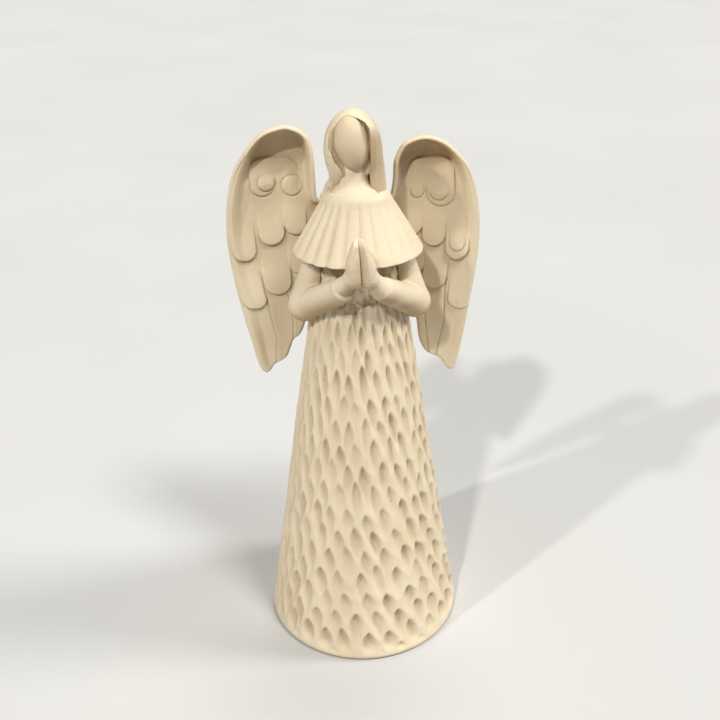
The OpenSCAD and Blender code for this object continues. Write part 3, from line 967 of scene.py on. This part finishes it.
# ---------------------------------------------------------------- the object
build_gown()
build_bodice()
build_cape()
build_head()
build_neck()
build_hair()
build_arms()
build_wing(1, "wing_left")
build_wing(-1, "wing_right")
KEPT_NODES = {
    "felt_pad": FELT, "base_plug": RESIN, "neck_pin": STEEL, "shoulder_pins": STEEL, "wing_pins": STEEL,
}
for node, material in KEPT_NODES.items():
    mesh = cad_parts[node].data
    mesh.materials.clear()
    mesh.materials.append(material)


# ---------------------------------------------------------------- floor, wall, light and camera, in metres
FLOOR_SIZE, WALL_R, WALL_H, ROOM_Y = 14, 6.9, 12, 2


def build_floor():
    """A pale matt floor, a little cloudy."""
    bpy.ops.mesh.primitive_plane_add(size=FLOOR_SIZE, location=(0, ROOM_Y, -0.0002))
    floor = bpy.context.object
    floor.name = "studio_floor"
    s = Shader("studio_floor")
    pale = s.ramp(s.noise(3, 2), (0.2, (0.55, 0.55, 0.54)), (0.8, (0.585, 0.585, 0.575)))
    s.feed(s.surface["Base Color"], pale)
    s.surface["Roughness"].default_value = 0.9
    s.surface["Specular IOR Level"].default_value = 0.1
    floor.data.materials.append(s.material)


def build_wall():
    """A plain pale wall round the floor, which only the camera sees, so the light stays as it is."""
    bpy.ops.mesh.primitive_cylinder_add(
        vertices=96, radius=WALL_R, depth=WALL_H, end_fill_type="NOTHING",
        location=(0, ROOM_Y, WALL_H / 2 - 0.1),
    )
    wall = bpy.context.object
    wall.name = "studio_wall"
    wall.visible_diffuse = wall.visible_glossy = wall.visible_shadow = False
    material = bpy.data.materials.new("studio_wall")
    material.use_nodes = True
    nodes = material.node_tree.nodes
    nodes.clear()
    glow = nodes.new("ShaderNodeEmission")
    glow.inputs["Color"].default_value = (0.82, 0.81, 0.77, 1)
    surface = nodes.new("ShaderNodeOutputMaterial").inputs["Surface"]
    material.node_tree.links.new(glow.outputs[0], surface)
    material.cycles.emission_sampling = "NONE"
    wall.data.materials.append(material)


WARM, MILD = (1.0, 0.98, 0.95), (1.0, 0.99, 0.97)
# Each is named for its place in the picture. It has its azimuth from the front towards the figure's left,
# its height and its spread in degrees, then its power and its colour.
LIGHTS = {
    "key": (-57, 39, 2.5, 0.31, WARM),
    "second_key": (-26, 43, 3, 0.43, WARM),
    "right_side": (90, 35, 16, 0.54, MILD),
    "right_top": (45, 60, 14, 0.46, MILD),
    "top_back": (165, 68, 20, 0.26, WARM),
}


def build_light():
    """Two hard lights from the figure's right, and broad soft ones from its left, above and behind."""
    view = bpy.context.scene.view_settings
    view.view_transform, view.exposure, view.gamma = "Standard", 0.03, 0.88
    world = bpy.data.worlds.new("studio")
    bpy.context.scene.world = world
    world.use_nodes = True
    background = world.node_tree.nodes["Background"].inputs
    background["Color"].default_value = (1.0, 0.93, 0.84, 1)
    background["Strength"].default_value = 0.03
    for name, (azimuth, elevation, spread, power, colour) in LIGHTS.items():
        data = bpy.data.lights.new(name, "SUN")
        data.angle, data.energy, data.color = math.radians(spread), power * math.pi, colour
        a, e = math.radians(azimuth), math.radians(elevation)
        towards = Vector((math.sin(a) * math.cos(e), -math.cos(a) * math.cos(e), math.sin(e)))
        lamp = bpy.data.objects.new(name, data)
        lamp.rotation_euler = towards.to_track_quat("Z", "Y").to_euler()
        lamp.location = towards * 2
        bpy.context.scene.collection.objects.link(lamp)


def build_camera():
    """In front and a little above, looking down at the middle of the figure, and turned a degree."""
    spot, target = Vector((-0.0225, -0.4294, 0.3977)), Vector((0.00009, 0, 0.16596))
    ahead = (target - spot).normalized()
    right = ahead.cross(Vector((0, 0, 1))).normalized()
    up = right.cross(ahead)
    roll = math.radians(0.99)
    right, up = (
        right * math.cos(roll) - up * math.sin(roll),
        up * math.cos(roll) + right * math.sin(roll),
    )
    camera = bpy.data.objects.new("camera", bpy.data.cameras.new("camera"))
    camera.data.sensor_width = 36
    camera.data.lens = 45.04
    camera.data.clip_start = 0.01
    camera.matrix_world = Matrix.Translation(spot) @ Matrix((right, up, -ahead)).transposed().to_4x4()
    bpy.context.scene.collection.objects.link(camera)
    bpy.context.scene.camera = camera


build_floor()
build_wall()
build_light()
build_camera()
